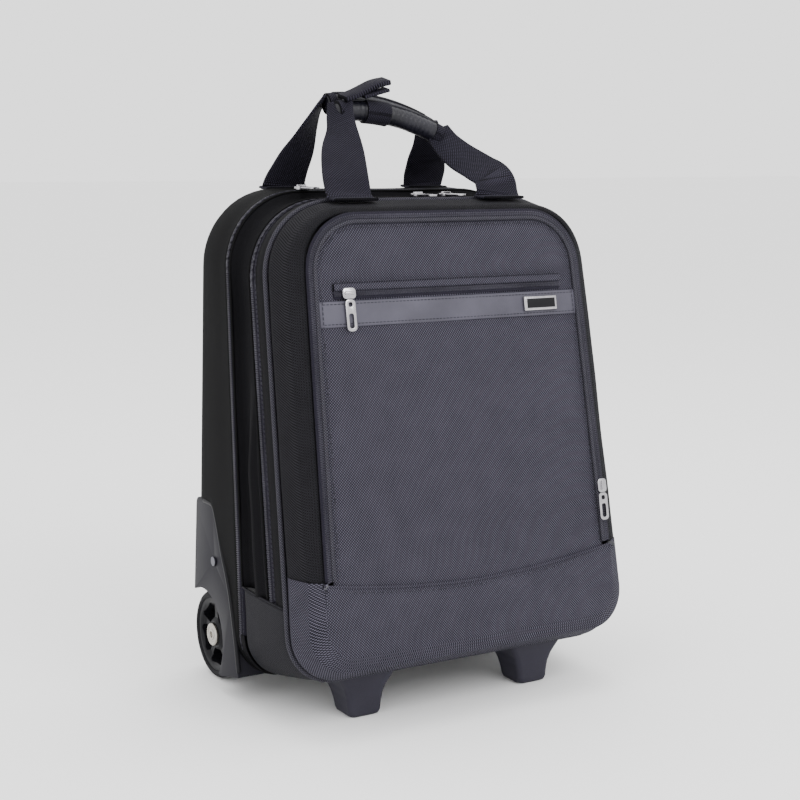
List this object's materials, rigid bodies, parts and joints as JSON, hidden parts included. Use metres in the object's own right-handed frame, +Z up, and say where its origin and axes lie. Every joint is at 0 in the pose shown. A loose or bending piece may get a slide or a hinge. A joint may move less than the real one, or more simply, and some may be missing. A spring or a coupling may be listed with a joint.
{
  "type": "rolling laptop case",
  "caption": "Soft-sided rolling case with a telescopic handle, a leaning front with a zipped pocket door, padded laptop section, carry handles, side wheels and front feet.",
  "frame": {"origin": "on the floor, below the centre of the case's box", "axes": "+Z up, -Y the front face, +X to the right of someone who looks at the front"},
  "size_m": [0.331, 0.2458, 0.5317],
  "materials": {
    "shell_fabric": "smooth dark polyester",
    "front_fabric": "ballistic twill",
    "lining": "plain lining",
    "board": "stiffener sheet",
    "zip_tape": "woven zip tape with coil",
    "zip_metal": "polished",
    "leather": "smooth dark leather",
    "webbing": "ribbed webbing",
    "badge": "plain blank plate",
    "moulded_plastic": "fine grain",
    "wheel_plastic": "satin",
    "tyre": "moulded rubber",
    "bush": "plain",
    "steel": "plated",
    "tube": "anodised",
    "grip_plastic": "satin"
  },
  "bodies": {
    "root": {"rear_shell": "shell_fabric", "handle_cup": "moulded_plastic", "back_board": "board", "back_pad": "lining", "rear_base_board": "board", "rear_zip_tape": "zip_tape", "wheel_housing_left": "moulded_plastic", "wheel_housing_right": "moulded_plastic", "housing_screws": "steel", "axle_left": "steel", "axle_right": "steel", "guide_tubes": "tube", "guide_brackets": "moulded_plastic"},
    "wheel_left": {"wheel_tyre_left": "tyre", "wheel_hub_left": "wheel_plastic", "wheel_bush_left": "bush", "hub_cap_left": "steel"},
    "wheel_right": {"wheel_tyre_right": "tyre", "wheel_hub_right": "wheel_plastic", "wheel_bush_right": "bush", "hub_cap_right": "steel"},
    "handle_stage_one": {"stage_one_tubes": "tube"},
    "handle_stage_two": {"stage_two_tubes": "tube", "pull_grip": "grip_plastic"},
    "release": {"release_button": "grip_plastic"},
    "middle": {"middle_gusset": "shell_fabric", "base_tray": "shell_fabric", "base_rim": "board", "front_band": "front_fabric", "rear_zip_tape_middle": "zip_tape", "main_zip_tape_middle": "zip_tape", "divider_panel": "lining", "laptop_sleeve": "lining", "foot_left": "moulded_plastic", "foot_right": "moulded_plastic"},
    "front": {"front_shell": "shell_fabric", "main_zip_tape_front": "zip_tape", "front_zip_tape": "zip_tape", "pocket_back": "lining"},
    "door": {"pocket_door": "front_fabric", "pocket_zip_tape": "zip_tape", "leather_band": "leather", "badge": "badge"},
    "pocket_zip": {"pocket_slider": "zip_metal"},
    "pocket_zip_pull": {"pocket_pull": "zip_metal"},
    "front_zip": {"front_slider": "zip_metal"},
    "front_zip_pull": {"front_pull": "zip_metal"},
    "main_zip_left": {"main_slider_left": "zip_metal"},
    "main_zip_pull_left": {"main_pull_left": "zip_metal"},
    "main_zip_right": {"main_slider_right": "zip_metal"},
    "main_zip_pull_right": {"main_pull_right": "zip_metal"},
    "rear_zip": {"rear_slider": "zip_metal"},
    "rear_zip_pull": {"rear_pull": "zip_metal"},
    "handle_front": {"front_straps": "webbing", "front_grip": "leather", "keeper_loop": "webbing"},
    "handle_rear": {"rear_straps": "webbing", "rear_grip": "leather"},
    "tab": {"snap_tab": "webbing"}
  },
  "joints": [
    {"name": "left_wheel_spin", "type": "hinge", "parent": "root", "child": "wheel_left", "pos_m": [-0.145, 0.08291, 0.04], "axis": [1, 0, 0], "continuous": true},
    {"name": "right_wheel_spin", "type": "hinge", "parent": "root", "child": "wheel_right", "pos_m": [0.145, 0.08291, 0.04], "axis": [1, 0, 0], "continuous": true},
    {"name": "handle_lower_slide", "type": "slide", "parent": "root", "child": "handle_stage_one", "axis": [0, 0, 1], "range_m": [0, 0.33]},
    {"name": "handle_upper_slide", "type": "slide", "parent": "handle_stage_one", "child": "handle_stage_two", "axis": [0, 0, 1], "range_m": [0, 0.32]},
    {"name": "release_press", "type": "slide", "parent": "handle_stage_two", "child": "release", "axis": [0, 0, -1], "range_m": [0, 0.004], "stiffness_N_per_m": 300},
    {"name": "laptop_section_fold", "type": "hinge", "parent": "root", "child": "middle", "pos_m": [0, -0.00059, 0.023], "axis": [1, 0, 0], "range_deg": [0, 42]},
    {"name": "front_section_fold", "type": "hinge", "parent": "middle", "child": "front", "pos_m": [0, -0.11692, 0.104], "axis": [1, 0, 0], "range_deg": [0, 40]},
    {"name": "pocket_door_fold", "type": "hinge", "parent": "front", "child": "door", "pos_m": [0, -0.11251, 0.129], "axis": [1, 0, 0], "range_deg": [0, 45]},
    {"name": "pocket_zip_slide", "type": "slide", "parent": "door", "child": "pocket_zip", "axis": [1, 0, 0], "range_m": [0, 0.15]},
    {"name": "pocket_pull_lift", "type": "hinge", "parent": "pocket_zip", "child": "pocket_zip_pull", "pos_m": [-0.099, -0.07742, 0.35336], "axis": [-1, 0, 0], "range_deg": [0, 100]},
    {"name": "front_zip_slide", "type": "slide", "parent": "door", "child": "front_zip", "axis": [0, 0.1736, 0.9848], "range_m": [0, 0.15]},
    {"name": "front_pull_lift", "type": "hinge", "parent": "front_zip", "child": "front_zip_pull", "pos_m": [0.13671, -0.11005, 0.17465], "axis": [-1, 0, 0], "range_deg": [0, 100]},
    {"name": "main_zip_slide_left", "type": "slide", "parent": "front", "child": "main_zip_left", "axis": [-1, 0, 0], "range_m": [0, 0.05]},
    {"name": "main_pull_lift_left", "type": "hinge", "parent": "main_zip_left", "child": "main_zip_pull_left", "pos_m": [0.014, -0.00128, 0.4361], "axis": [-1, 0, 0], "range_deg": [0, 100]},
    {"name": "main_zip_slide_right", "type": "slide", "parent": "front", "child": "main_zip_right", "axis": [-1, 0, 0], "range_m": [0, 0.012]},
    {"name": "main_pull_lift_right", "type": "hinge", "parent": "main_zip_right", "child": "main_zip_pull_right", "pos_m": [0.043, -0.00128, 0.4361], "axis": [-1, 0, 0], "range_deg": [0, 100]},
    {"name": "rear_zip_slide", "type": "slide", "parent": "middle", "child": "rear_zip", "axis": [1, 0, 0], "range_m": [0, 0.14]},
    {"name": "rear_pull_lift", "type": "hinge", "parent": "rear_zip", "child": "rear_zip_pull", "pos_m": [-0.078, 0.04324, 0.4425], "axis": [-1, 0, 0], "range_deg": [0, 100]},
    {"name": "front_handle_fold", "type": "hinge", "parent": "front", "child": "handle_front", "pos_m": [0, -0.03009, 0.4337], "axis": [1, 0, 0], "range_deg": [0, 110]},
    {"name": "rear_handle_fold", "type": "hinge", "parent": "root", "child": "handle_rear", "pos_m": [0, 0.08991, 0.4407], "axis": [-1, 0, 0], "range_deg": [0, 110]},
    {"name": "snap_tab_lift", "type": "hinge", "parent": "handle_front", "child": "tab", "pos_m": [-0.038, 0.02891, 0.521], "axis": [0, -1, 0], "range_deg": [0, 60]}
  ]
}
